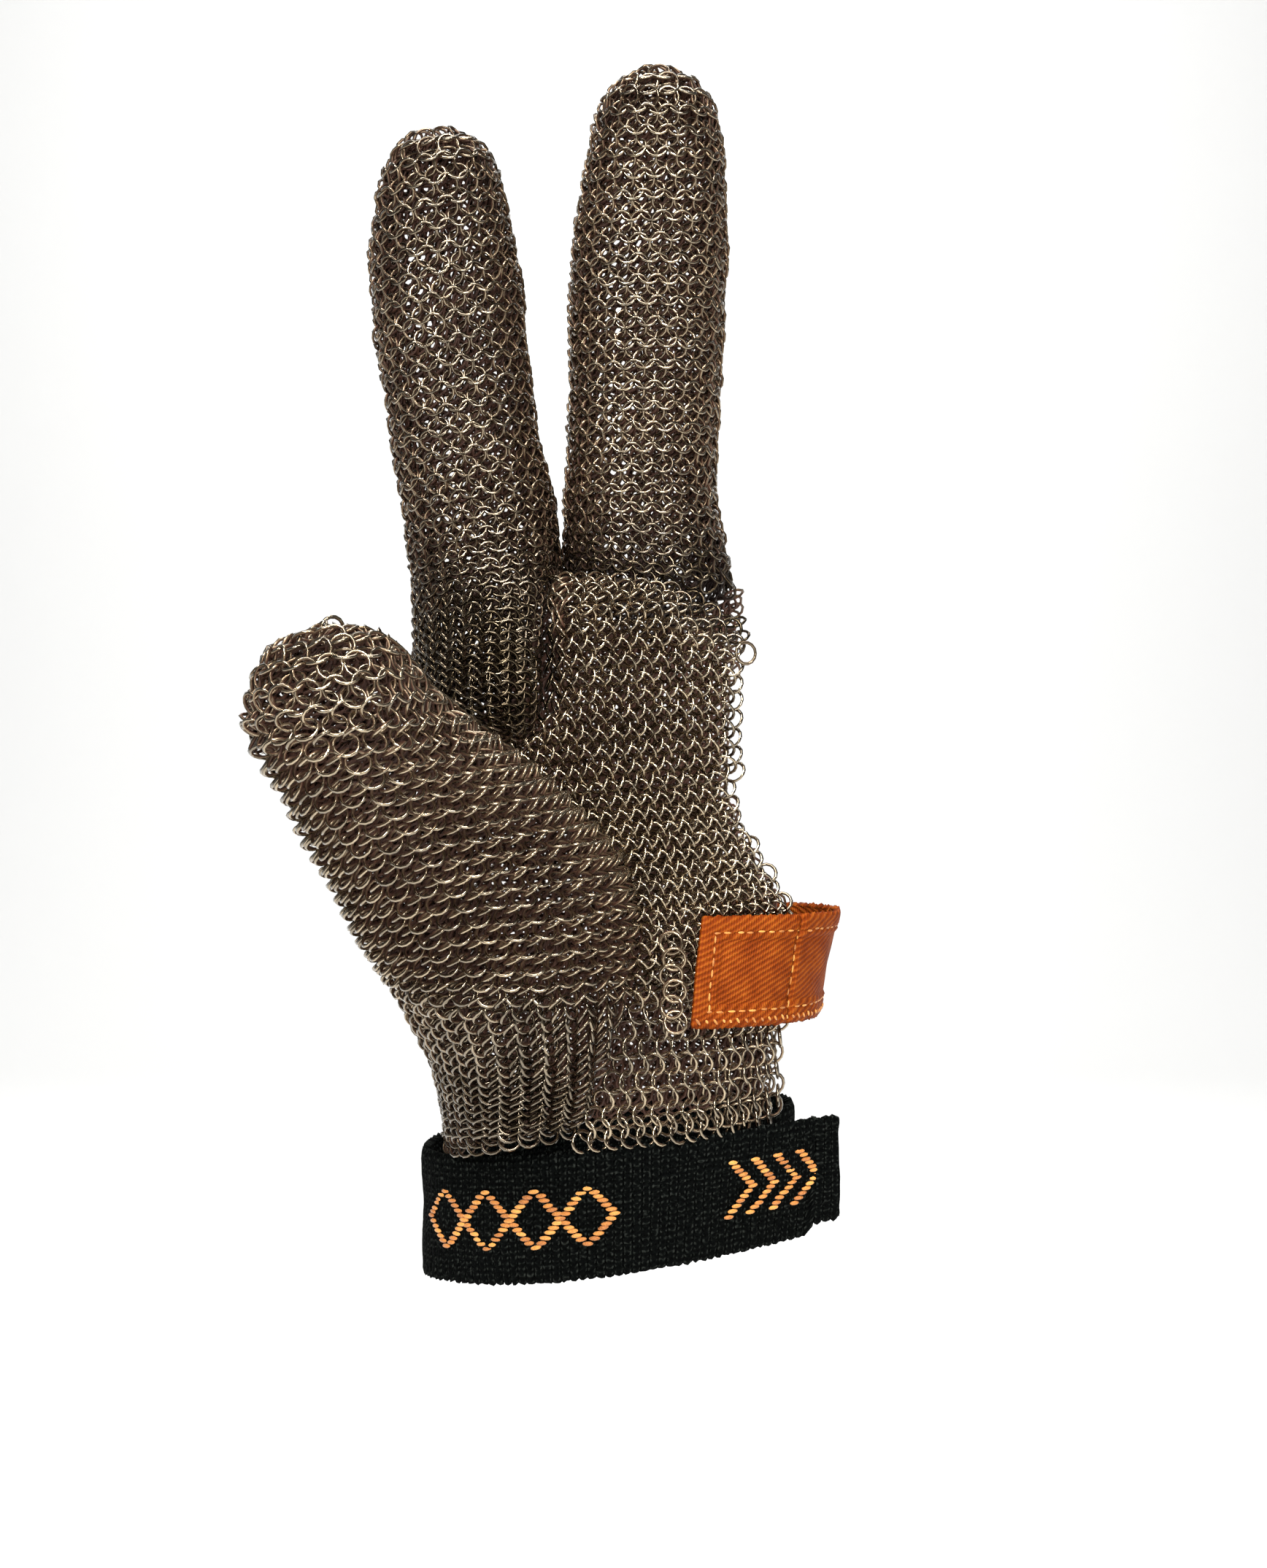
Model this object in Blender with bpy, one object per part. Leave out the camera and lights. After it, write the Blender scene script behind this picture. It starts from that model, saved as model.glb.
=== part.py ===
"""Three-finger chainmail glove for a left hand, held in its worn shape.

The mail is one hollow wall, parted into hand, thumb, index and middle pieces. A webbing tab
bridges the open little-finger side, and a webbing strap closes round the wrist with a patch of
hook-and-loop. Metres, +Z up towards the fingertips, palm towards -Y. The origin is the middle of
the wrist strap's loop.
"""

from collections import namedtuple
from math import cos, pi, radians, sin, tan

import bmesh
import bpy
from mathutils import Matrix, Vector

MM = 0.001

# Driving sizes, in millimetres
WALL = 1.6                # mail thickness, two leaning rings of wire deep
GAP = 0.3                 # air between pieces that touch
STRAP_WIDTH = 20.5
STRAP_THICK = 1.6
STRAP_RISE = 3.8          # middle of the webbing above the origin
STRAP_SLOPE = 0.119       # the loop climbs this much towards the little finger
STRAP_HALF_SPAN = 31.0    # loop, thumb side to little-finger side
STRAP_HALF_DEPTH = 21.5   # loop, palm to back
STRAP_OVERLAP = 2.4       # the outer layer stands this far off the inner one
TAIL_LENGTH = 23.5
TAIL_WIDTH = 17.5
TAIL_LEAN = 16.0          # degrees that the tail's end is twisted, lower edge inwards
TAB_THICK = 2.0
TAB_BOTTOM = 33.6
TAB_TOP = 50.6
KNUCKLE_LINE = 110.0      # height where the fingers are parted from the hand
FINGER_PARTING = -7.95    # x of the parting between index and middle finger

Section = namedtuple("Section", "x y z half_width front back lean_left lean_forward")

# Wrist to knuckles. The little-finger side is cut open afterwards.
HAND_SECTIONS = [
    Section(2.3, 0.0, -2.0, 29.7, 26.0, 21.3, 0, 0),
    Section(2.3, 0.0, 10.0, 29.8, 26.0, 21.3, 0, 0),
    Section(2.3, 0.0, 20.0, 29.8, 25.8, 19.6, 0, 0),
    Section(2.6, 0.0, 31.0, 30.4, 25.8, 17.6, 0, 0),
    Section(3.2, 0.0, 45.0, 32.8, 25.0, 16.0, 0, 0),
    Section(4.2, 0.0, 60.0, 34.8, 20.5, 15.5, 0, 0),
    Section(4.6, 0.0, 75.0, 36.0, 16.6, 15.0, 0, 0),
    Section(4.6, 0.0, 90.0, 35.6, 16.0, 15.0, 0, 0),
    Section(4.0, 0.0, 97.0, 33.0, 15.4, 14.6, 0, 0),
]
HAND_DOME = 12.0
HAND_SQUARENESS = 2.4

# Wrist to thumb tip, over the ball of the thumb
THUMB_SECTIONS = [
    Section(-10.0, -3.0, -2.0, 17.4, 21.2, 20.0, 0, 0),
    Section(-10.0, -3.2, 10.0, 17.4, 21.2, 19.5, 0, 0),
    Section(-10.8, -4.6, 20.0, 17.2, 21.6, 19.0, 5, 6),
    Section(-12.9, -8.5, 32.0, 16.8, 22.0, 18.5, 14, 16),
    Section(-17.4, -15.0, 44.0, 17.2, 21.0, 18.0, 22, 30),
    Section(-22.6, -25.0, 55.5, 18.0, 18.5, 17.0, 27, 42),
    Section(-28.2, -37.0, 66.5, 16.9, 15.6, 15.0, 29, 50),
    Section(-33.2, -48.5, 75.0, 14.8, 13.6, 13.2, 29, 51),
    Section(-38.0, -60.0, 83.0, 12.5, 12.2, 12.0, 30, 51),
]
THUMB_DOME = 11.0

INDEX_SECTIONS = [
    Section(-20.0, -1.0, 76.0, 7.0, 9.0, 8.0, 0, 0),
    Section(-20.4, -2.5, 82.0, 10.5, 12.4, 12.0, 2, 0),
    Section(-20.4, -2.5, 90.0, 12.0, 13.6, 14.0, 4, 0),
    Section(-20.5, -1.0, 101.0, 12.9, 12.8, 13.6, 5, 0),
    Section(-21.6, 0.5, 115.0, 13.1, 11.4, 12.0, 7, 0),
    Section(-23.7, 0.4, 126.0, 12.8, 10.8, 11.2, 7, 2),
    Section(-25.9, -0.2, 140.0, 12.6, 10.4, 10.8, 7, 3),
    Section(-27.6, -1.2, 154.0, 12.9, 10.4, 10.8, 5, 5),
    Section(-28.4, -2.4, 166.5, 11.9, 9.8, 10.0, 2, 7),
    Section(-28.5, -3.2, 173.5, 10.2, 8.8, 8.8, 0, 8),
]
INDEX_DOME = 8.4

MIDDLE_SECTIONS = [
    Section(6.6, 1.0, 88.0, 12.0, 9.0, 12.0, 0, 0),
    Section(6.6, 1.2, 100.0, 14.2, 10.8, 13.2, 0, 0),
    Section(5.6, 1.4, 113.0, 13.4, 11.0, 12.4, 0, 0),
    Section(5.6, 1.2, 127.0, 12.9, 10.8, 11.6, 0, 1),
    Section(6.2, 0.6, 141.0, 13.0, 10.6, 11.2, -1, 2),
    Section(6.6, -0.4, 156.0, 13.4, 10.6, 11.0, -2, 4),
    Section(7.6, -1.8, 171.0, 12.7, 10.0, 10.4, -2, 6),
    Section(8.3, -3.0, 182.0, 11.0, 9.0, 9.2, -1, 8),
]
MIDDLE_DOME = 10.4

# Little-finger opening: edge of the mail, seen from the palm
OPENING_EDGE = [(22.0, 118.0), (22.3, 103.0), (22.6, 96.0), (21.2, 88.0), (20.8, 71.0),
                (22.4, 64.5), (31.2, 49.5), (32.2, 45.5), (29.6, 29.0), (28.4, 20.0), (25.4, 2.0)]

STEEL = (0.42, 0.39, 0.35, 1.0)
ORANGE = (0.80, 0.27, 0.03, 1.0)
BLACK = (0.012, 0.012, 0.013, 1.0)


def material(name, colour, roughness, metallic):
    made = bpy.data.materials.new(name)
    made.use_nodes = True
    shader = made.node_tree.nodes["Principled BSDF"]
    shader.inputs["Base Color"].default_value = colour
    shader.inputs["Roughness"].default_value = roughness
    shader.inputs["Metallic"].default_value = metallic
    made.diffuse_color = colour
    return made


def add_object(name, bm, finish=None):
    bmesh.ops.recalc_face_normals(bm, faces=bm.faces)
    mesh = bpy.data.meshes.new(name)
    bm.to_mesh(mesh)
    bm.free()
    if finish:
        mesh.materials.append(finish)
    obj = bpy.data.objects.new(name, mesh)
    bpy.context.scene.collection.objects.link(obj)
    return obj


def drop(obj):
    bpy.data.objects.remove(obj)


def between(rows, steps):
    """A smooth run of rows through the given ones, steps to each interval (Catmull-Rom)."""
    found = []
    for i in range(len(rows) - 1):
        before, start = rows[max(i - 1, 0)], rows[i]
        end, after = rows[i + 1], rows[min(i + 2, len(rows) - 1)]
        for k in range(steps):
            t = k / steps
            found.append(tuple(
                b + 0.5 * t * (c - a + t * (2 * a - 5 * b + 4 * c - d + t * (3 * (b - c) + d - a)))
                for a, b, c, d in zip(before, start, end, after)))
    found.append(tuple(rows[-1]))
    return [Section(*row) for row in found] if isinstance(rows[0], Section) else found


def axes_of(section):
    """Across, towards the back, and upwards, for a section that leans."""
    up = Vector((-tan(radians(section.lean_left)), -tan(radians(section.lean_forward)), 1))
    up.normalize()
    across = (Vector((1, 0, 0)) - up * up.x).normalized()
    return across, up.cross(across), up


def power(value, squareness):
    return abs(value) ** (2 / squareness) * (1 if value >= 0 else -1)


def section_point(section, angle, squareness=2.0, grow=0.0, rise=0.0, shrink=1.0):
    """A point of a section's outline, in mm. Angle 0 is the +X side and a quarter turn is the back."""
    across, back, up = axes_of(section)
    depth = section.back if sin(angle) > 0 else section.front
    return (Vector((section.x, section.y, section.z)) + up * rise
            + across * (section.half_width + grow) * shrink * power(cos(angle), squareness)
            + back * (depth + grow) * shrink * power(sin(angle), squareness))


def form(name, sections, dome, around, squareness=2.0, grow=0.0, steps=2, dome_rows=4):
    """A closed body lofted through the sections, with a rounded top. grow is negative for a hollow."""
    rows = [(row, 0.0, 1.0) for row in between(sections, steps)]
    for k in range(1, dome_rows):
        lift = 0.5 * pi * k / dome_rows
        rows.append((sections[-1], (dome + grow) * sin(lift), cos(lift)))
    bm = bmesh.new()
    loops = []
    for row, rise, shrink in rows:
        ring = [section_point(row, 2 * pi * i / around, squareness, grow, rise, shrink)
                for i in range(around)]
        loops.append([bm.verts.new(point * MM) for point in ring])
    up = axes_of(sections[-1])[2]
    top = Vector(sections[-1][:3]) + up * (dome + grow)
    pole = bm.verts.new(top * MM)
    bm.faces.new(reversed(loops[0]))
    for low, high in zip(loops, loops[1:]):
        for i in range(around):
            j = (i + 1) % around
            bm.faces.new((low[i], low[j], high[j], high[i]))
    for i in range(around):
        bm.faces.new((loops[-1][i], loops[-1][(i + 1) % around], pole))
    return add_object(name, bm)


def hand_forms(grow, low_by=0.0):
    """The four bodies that the hand fills, in one list."""
    around = {"hand": 36, "thumb": 28, "index": 24, "middle": 24}
    lowered = [HAND_SECTIONS[0]._replace(z=HAND_SECTIONS[0].z - low_by)] + HAND_SECTIONS[1:]
    thumb_low = [THUMB_SECTIONS[0]._replace(z=THUMB_SECTIONS[0].z - low_by)] + THUMB_SECTIONS[1:]
    return [
        form("hand", lowered, HAND_DOME, around["hand"], HAND_SQUARENESS, grow),
        form("thumb", thumb_low, THUMB_DOME, around["thumb"], grow=grow),
        form("index", INDEX_SECTIONS, INDEX_DOME, around["index"], grow=grow),
        form("middle", MIDDLE_SECTIONS, MIDDLE_DOME, around["middle"], grow=grow),
    ]


def boolean(obj, cutter, operation, keep_cutter=False):
    modifier = obj.modifiers.new(operation.lower(), "BOOLEAN")
    modifier.operation = operation
    modifier.object = cutter
    with bpy.context.temp_override(object=obj, active_object=obj, selected_objects=[obj]):
        bpy.ops.object.modifier_apply(modifier=modifier.name)
    if not keep_cutter:
        drop(cutter)
    return obj


def fused(bodies):
    """All bodies joined into the first."""
    first = bodies[0]
    for other in bodies[1:]:
        boolean(first, other, "UNION")
    return first


def prism(name, outline, depth):
    """An outline in x and z, in mm, extruded through the glove from palm to back."""
    bm = bmesh.new()
    face = bm.faces.new([bm.verts.new(Vector((x, -depth, z)) * MM) for x, z in outline])
    made = bmesh.ops.extrude_face_region(bm, geom=[face])
    moved = [v for v in made["geom"] if isinstance(v, bmesh.types.BMVert)]
    bmesh.ops.translate(bm, verts=moved, vec=Vector((0, 2 * depth, 0)) * MM)
    return add_object(name, bm)


def block(name, low, high, turn=None, about=None):
    """A box between two corners in mm, turned by a matrix about a point when one is given."""
    bm = bmesh.new()
    bmesh.ops.create_cube(bm, size=1.0)
    size = Vector(high) - Vector(low)
    middle = (Vector(high) + Vector(low)) / 2
    bmesh.ops.scale(bm, verts=bm.verts, vec=size * MM)
    bmesh.ops.translate(bm, verts=bm.verts, vec=middle * MM)
    if turn:
        bmesh.ops.transform(bm, matrix=turn, verts=bm.verts)
        bmesh.ops.translate(bm, verts=bm.verts, vec=Vector(about) * MM)
    return add_object(name, bm)


def mail_wall():
    """The whole mail as one hollow wall, open at the wrist and along the little-finger side."""
    wall = boolean(fused(hand_forms(0.0)), fused(hand_forms(-WALL, low_by=10.0)), "DIFFERENCE")
    reach = 70.0
    hem = [(x, STRAP_RISE + STRAP_SLOPE * x + STRAP_WIDTH / 2 + GAP) for x in (-reach, reach)]
    boolean(wall, prism("below_hem", hem + [(reach, -30.0), (-reach, -30.0)], reach), "DIFFERENCE")
    edge = [(reach, OPENING_EDGE[0][1])] + OPENING_EDGE + [(reach, OPENING_EDGE[-1][1])]
    return boolean(wall, prism("opening", edge, reach), "DIFFERENCE")


def part_mail(wall, finish):
    """Parts the wall at the knuckles and across the thumb, a gap wide, and names the pieces."""
    half, reach = GAP / 2, 200.0
    root = THUMB_SECTIONS[6]
    across, back, up = axes_of(root)
    turn = Matrix((across, back, up)).transposed().to_4x4()
    fingers = {
        "index_mail": lambda g: block("cut", (-reach, -40, KNUCKLE_LINE + g),
                                      (FINGER_PARTING - g, 40, reach)),
        "middle_mail": lambda g: block("cut", (FINGER_PARTING + g, -40, KNUCKLE_LINE + g),
                                       (reach, 40, reach)),
        "thumb_mail": lambda g: block("cut", (-24, -22, g), (24, 22, 80), turn,
                                      (root.x, root.y, root.z)),
    }
    pieces = []
    for name, region in fingers.items():
        piece = wall.copy()
        piece.data = wall.data.copy()
        piece.name = name
        bpy.context.scene.collection.objects.link(piece)
        pieces.append(boolean(piece, region(half), "INTERSECT"))
    wall.name = "hand_mail"
    for region in fingers.values():
        boolean(wall, region(-half), "DIFFERENCE")
    for piece in pieces + [wall]:
        piece.data.materials.clear()
        piece.data.materials.append(finish)
        piece.data.shade_smooth()
        piece.data.set_sharp_from_angle(angle=radians(40))


def band(name, rows, thick, finish):
    """A flat band through rows of (x, y, z, width, lean). Lean pushes its lower edge inwards."""
    bm = bmesh.new()
    loops = []
    for i, (x, y, z, width, lean) in enumerate(rows):
        after, before = rows[min(i + 1, len(rows) - 1)], rows[max(i - 1, 0)]
        run = Vector((after[0] - before[0], after[1] - before[1], 0)).normalized()
        out = run.cross(Vector((0, 0, 1)))
        up = Vector((0, 0, cos(radians(lean)))) + out * sin(radians(lean))
        face = up.cross(run).normalized()
        middle = Vector((x, y, z))
        corners = ((1, 1), (1, -1), (-1, -1), (-1, 1))
        loops.append([bm.verts.new((middle + up * width / 2 * a + face * thick / 2 * b) * MM)
                      for a, b in corners])
    bm.faces.new(loops[0])
    bm.faces.new(reversed(loops[-1]))
    for low, high in zip(loops, loops[1:]):
        for i in range(4):
            j = (i + 1) % 4
            bm.faces.new((low[i], high[i], high[j], low[j]))
    return add_object(name, bm, finish)


def loop_point(angle, off=0.0):
    """A point on the wrist loop, off millimetres outside it. Angle 0 is the little-finger side."""
    x = (STRAP_HALF_SPAN + off) * cos(angle)
    return Vector((x, (STRAP_HALF_DEPTH + off) * sin(angle), STRAP_RISE + STRAP_SLOPE * x))


def strap_rows():
    """Inner end under the palm-side overlap, once round the wrist, over itself and out as a tail."""
    start, lift_from, leave = radians(-58), radians(190), radians(298)
    turns, tail_steps = 44, 6
    lean_at_leave = 10.0
    rows = []
    for i in range(turns + 1):
        angle = start + (leave - start) * i / turns
        share = max(0.0, (angle - lift_from) / (leave - lift_from))
        rows.append((*loop_point(angle, STRAP_OVERLAP * share ** 0.5), STRAP_WIDTH,
                     lean_at_leave * share))
    last = Vector(rows[-1][:3])
    run = last - Vector(rows[-2][:3])
    run.normalize()
    for i in range(1, tail_steps + 1):
        share = i / tail_steps
        rows.append((*(last + run * TAIL_LENGTH * share),
                     STRAP_WIDTH + (TAIL_WIDTH - STRAP_WIDTH) * share,
                     lean_at_leave + (TAIL_LEAN - lean_at_leave) * share))
    return rows


def wrist_strap(finish):
    return band("wrist_strap", strap_rows(), STRAP_THICK, finish)


def ulnar_tab(finish):
    """A webbing tab from palm to back round the little-finger side, lying on the hand's own shape."""
    lower, upper = TAB_BOTTOM, TAB_TOP
    sections = between(HAND_SECTIONS, 8)
    levels = [min(sections, key=lambda s: abs(s.z - z))._replace(z=z)
              for z in (lower, (lower + upper) / 2, upper)]
    first, last, count = radians(-74), radians(72), 30
    bm = bmesh.new()
    loops = []
    for i in range(count + 1):
        angle = first + (last - first) * i / count
        inside = [section_point(s, angle, HAND_SQUARENESS, grow=GAP) for s in levels]
        outside = [section_point(s, angle, HAND_SQUARENESS, grow=GAP + TAB_THICK) for s in levels]
        loops.append([bm.verts.new(p * MM) for p in inside + outside[::-1]])
    bm.faces.new(loops[0])
    bm.faces.new(reversed(loops[-1]))
    for low, high in zip(loops, loops[1:]):
        for i in range(len(low)):
            j = (i + 1) % len(low)
            bm.faces.new((low[i], high[i], high[j], low[j]))
    return add_object("ulnar_tab", bm, finish)


def main():
    for obj in list(bpy.data.objects):
        bpy.data.objects.remove(obj)
    steel = material("steel_rings", STEEL, 0.3, 1.0)
    orange = material("orange_webbing", ORANGE, 0.6, 0.0)
    black = material("black_webbing", BLACK, 0.8, 0.0)
    part_mail(mail_wall(), steel)
    wrist_strap(black)
    ulnar_tab(orange)


main()
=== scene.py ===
from math import cos, pi, radians, sin, tan

import bpy
import numpy as np
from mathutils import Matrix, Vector
from mathutils.bvhtree import BVHTree


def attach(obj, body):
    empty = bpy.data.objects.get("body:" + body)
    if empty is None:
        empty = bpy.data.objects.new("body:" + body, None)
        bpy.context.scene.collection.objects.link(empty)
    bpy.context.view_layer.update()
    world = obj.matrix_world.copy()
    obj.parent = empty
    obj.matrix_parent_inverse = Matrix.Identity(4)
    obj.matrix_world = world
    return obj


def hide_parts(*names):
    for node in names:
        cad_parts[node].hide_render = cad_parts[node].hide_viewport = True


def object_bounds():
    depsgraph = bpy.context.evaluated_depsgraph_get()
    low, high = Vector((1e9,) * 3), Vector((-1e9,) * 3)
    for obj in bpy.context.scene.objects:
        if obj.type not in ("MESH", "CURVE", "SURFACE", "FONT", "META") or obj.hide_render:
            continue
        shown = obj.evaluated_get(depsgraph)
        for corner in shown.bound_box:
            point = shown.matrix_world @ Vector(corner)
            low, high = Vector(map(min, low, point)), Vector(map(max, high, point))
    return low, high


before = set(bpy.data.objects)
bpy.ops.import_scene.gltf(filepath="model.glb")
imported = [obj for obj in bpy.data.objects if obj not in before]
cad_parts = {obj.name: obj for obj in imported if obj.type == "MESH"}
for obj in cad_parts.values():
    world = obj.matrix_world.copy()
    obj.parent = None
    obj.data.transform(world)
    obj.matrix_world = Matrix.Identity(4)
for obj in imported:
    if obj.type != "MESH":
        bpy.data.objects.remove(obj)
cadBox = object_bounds()
print("frame loaded")

mm = 0.001
chance = np.random.default_rng(7)

# one welded ring of the mail, in mm
ring = {
    "outer": 4.05,
    "wire": 0.5,
    "segments": (14, 4),  # round the ring and round the wire, in front
    "backSegments": (10, 3),
    "sunk": 1.0,          # ring centres lie this far under the outer face of the mail
    "stacking": 1.15,     # how steeply rings stand where rows are pushed together
    "steepest": 62.0,     # degrees
    "tiltWander": 3.5,    # degrees
    "turnWander": 4.5,    # degrees
    "placeWander": 0.06,
    "creaseShade": 0.85,  # how much of its brightness a ring loses in a crease
    "slackShade": 1.4,    # how much darker than any other a ring is where the mail bunches up
}


def clearSelection():
    for obj in bpy.context.selected_objects:
        obj.select_set(False)


def unit(vectors):
    return vectors / np.linalg.norm(vectors, axis=-1, keepdims=True)


# the hand's shapes under the mail, as sections from wrist to tip, in mm
# each row: x, y, z, half width, front, back, lean left, lean forward
handShape = {
    "sections": [
        (2.3, 0.0, -2.0, 29.7, 26.0, 21.3, 0, 0),
        (2.3, 0.0, 10.0, 29.8, 26.0, 21.3, 0, 0),
        (2.3, 0.0, 20.0, 29.8, 25.8, 19.6, 0, 0),
        (2.6, 0.0, 31.0, 30.4, 25.8, 17.6, 0, 0),
        (3.2, 0.0, 45.0, 32.8, 25.0, 16.0, 0, 0),
        (4.2, 0.0, 60.0, 34.8, 20.5, 15.5, 0, 0),
        (4.6, 0.0, 75.0, 36.0, 16.6, 15.0, 0, 0),
        (4.6, 0.0, 90.0, 35.6, 16.0, 15.0, 0, 0),
        (4.0, 0.0, 97.0, 33.0, 15.4, 14.6, 0, 0),
    ],
    "dome": 12.0,
    "squareness": 2.4,
}
thumbShape = {
    "sections": [
        (-12.4, -6.0, -2.0, 15.0, 20.8, 14.0, 0, 0),
        (-12.4, -6.0, 10.0, 15.0, 20.8, 14.0, 0, 0),
        (-11.6, -6.6, 20.0, 16.2, 21.2, 15.0, 5, 6),
        (-11.4, -9.5, 32.0, 18.6, 21.8, 17.0, 14, 16),
        (-14.0, -15.0, 44.0, 20.8, 21.6, 18.0, 22, 30),
        (-19.6, -25.0, 55.5, 21.2, 18.9, 17.0, 27, 42),
        (-27.2, -37.0, 66.5, 17.9, 15.6, 15.0, 29, 50),
        (-33.2, -48.5, 75.0, 14.8, 13.6, 13.2, 29, 51),
        (-38.0, -60.0, 83.0, 12.5, 12.2, 12.0, 30, 51),
    ],
    "dome": 11.0,
    "squareness": 2.0,
}
indexShape = {
    "sections": [
        (-20.0, -1.0, 76.0, 7.0, 10.0, 8.0, 0, 0),
        (-20.2, -2.5, 80.0, 10.0, 15.6, 12.0, 1, 0),
        (-20.4, -2.5, 84.5, 11.6, 18.2, 13.0, 3, 0),
        (-20.4, -2.5, 91.0, 12.4, 17.6, 14.0, 4, 0),
        (-20.5, -1.5, 101.0, 12.9, 14.2, 13.6, 5, 0),
        (-21.6, 0.5, 115.0, 13.1, 11.4, 12.0, 7, 0),
        (-23.7, 0.4, 126.0, 12.8, 10.8, 11.2, 7, 2),
        (-25.9, -0.2, 140.0, 12.6, 10.4, 10.8, 7, 3),
        (-27.6, -1.2, 154.0, 12.9, 10.4, 10.8, 5, 5),
        (-28.4, -2.4, 166.5, 11.9, 9.8, 10.0, 2, 7),
        (-28.5, -3.2, 173.5, 10.2, 8.8, 8.8, 0, 8),
    ],
    "dome": 9.6,
    "squareness": 2.0,
}
middleShape = {
    "sections": [
        (7.4, 0.0, 90.0, 13.0, 7.0, 12.0, 0, 0),
        (7.8, 0.4, 98.0, 14.6, 8.6, 13.0, 0, 0),
        (7.2, 0.8, 105.0, 14.8, 10.6, 13.0, 0, 0),
        (6.2, 1.2, 112.0, 14.2, 12.0, 12.4, 0, 0),
        (5.7, 1.2, 119.0, 13.2, 12.0, 12.0, 0, 0),
        (5.6, 1.2, 127.0, 12.9, 11.2, 11.6, 0, 1),
        (6.2, 0.6, 141.0, 13.0, 10.6, 11.2, -1, 2),
        (6.6, -0.4, 156.0, 13.4, 10.6, 11.0, -2, 4),
        (7.6, -1.8, 171.0, 12.7, 10.0, 10.4, -2, 6),
        (8.3, -3.0, 182.0, 11.0, 9.0, 9.2, -1, 8),
    ],
    "dome": 11.5,
    "squareness": 2.0,
}
# creases across the palm side: beyond the line the mail sinks by "recess", and swells by "lip" before it
creases = [
    {"line": [(-9.0, 111.5), (-5.0, 110.6), (3.3, 109.4), (11.7, 106.0), (15.3, 100.5),
              (20.0, 97.6), (26.0, 95.0)],
     "recess": 4.2, "reach": 4.6, "lip": 0.3},
    {"line": [(-28.0, 86.5), (-21.5, 80.7), (-15.6, 80.7), (-9.7, 84.3), (-9.4, 96.0)],
     "recess": 3.4, "reach": 3.0, "lip": 0.5},
]

# little-finger opening, the mail's edge as x, z
openingEdge = [(22.0, 118.0), (22.3, 103.0), (22.6, 96.0), (21.2, 88.0), (20.8, 71.0),
               (22.4, 64.5), (31.2, 49.5), (32.2, 45.5), (29.6, 29.0), (28.4, 20.0), (25.4, 2.0)]
edgeX = np.array([p[0] for p in openingEdge])[::-1]
edgeZ = np.array([p[1] for p in openingEdge])[::-1]


def runOf(line):
    # length along a line, up to each of its points
    steps = np.linalg.norm(np.diff(line, axis=0), axis=1)
    return np.concatenate([[0.0], np.cumsum(steps)])


def closedLine(loop):
    return np.vstack([loop, loop[:1]])


def byHeight(points, table):
    # a value read from a table of heights and values
    return np.interp(points[:, 2], *zip(*table))


def smoothRun(rows, steps):
    # Catmull-Rom through the rows, steps to each interval
    table = np.array(rows, float)
    found = []
    for i in range(len(table) - 1):
        a, b = table[max(i - 1, 0)], table[i]
        c, d = table[i + 1], table[min(i + 2, len(table) - 1)]
        for k in range(steps):
            t = k / steps
            bend = 2 * a - 5 * b + 4 * c - d + t * (3 * (b - c) + d - a)
            found.append(b + 0.5 * t * (c - a + t * bend))
    found.append(table[-1])
    return np.array(found)


def leaningAxes(leanLeft, leanForward):
    up = Vector((-tan(radians(leanLeft)), -tan(radians(leanForward)), 1)).normalized()
    across = (Vector((1, 0, 0)) - up * up.x).normalized()
    return np.array(across), np.array(up.cross(across)), np.array(up)


def shapeTree(shape, around=64, domeRows=8):
    # a closed guide surface that the rows of rings are laid on
    rows = [(row, 0.0, 1.0) for row in smoothRun(shape["sections"], 4)]
    last = rows[-1][0]
    for k in range(1, domeRows):
        lift = 0.5 * pi * k / domeRows
        rows.append((last, shape["dome"] * sin(lift), cos(lift)))
    angles = np.arange(around) * 2 * pi / around
    points = []
    for row, rise, shrink in rows:
        x, y, z, halfWidth, front, back, leanLeft, leanForward = row
        across, backward, up = leaningAxes(leanLeft, leanForward)
        power = 2 / shape["squareness"]
        c = np.sign(np.cos(angles)) * np.abs(np.cos(angles)) ** power
        s = np.sign(np.sin(angles)) * np.abs(np.sin(angles)) ** power
        depth = np.where(np.sin(angles) > 0, back, front)
        points.append(np.array((x, y, z)) + up * rise + np.outer(c * halfWidth * shrink, across)
                      + np.outer(s * depth * shrink, backward))
    verts = [tuple(p) for loop in points for p in loop]
    low, high = len(verts), len(verts) + 1
    verts.append(tuple(rows[0][0][:3]))
    verts.append(tuple(last[:3] + leaningAxes(last[6], last[7])[2] * shape["dome"]))
    faces = []
    for k in range(len(points) - 1):
        for i in range(around):
            j = (i + 1) % around
            faces.append((k * around + i, k * around + j, (k + 1) * around + j, (k + 1) * around + i))
    top = (len(points) - 1) * around
    for i in range(around):
        j = (i + 1) % around
        faces.append((j, i, low))
        faces.append((top + i, top + j, high))
    return BVHTree.FromPolygons(verts, faces)


def outline(tree, centre, across, backward, rays=96):
    # where the guide surface meets a plane, as points round it, starting on the +X side
    found = []
    for i in range(rays):
        angle = 2 * pi * i / rays
        direction = across * cos(angle) + backward * sin(angle)
        hit = tree.ray_cast(Vector(centre), Vector(direction))[0]
        if hit is None:
            return None
        found.append(hit)
    return np.array(found)


def along(loop, shares):
    # points at shares of the loop's length
    closed = closedLine(loop)
    run = runOf(closed)
    at = (shares % 1.0) * run[-1]
    return np.stack([np.interp(at, run, closed[:, k]) for k in range(3)], axis=1)


def loopLength(loop):
    return np.linalg.norm(np.diff(closedLine(loop), axis=0), axis=1).sum()


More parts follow.
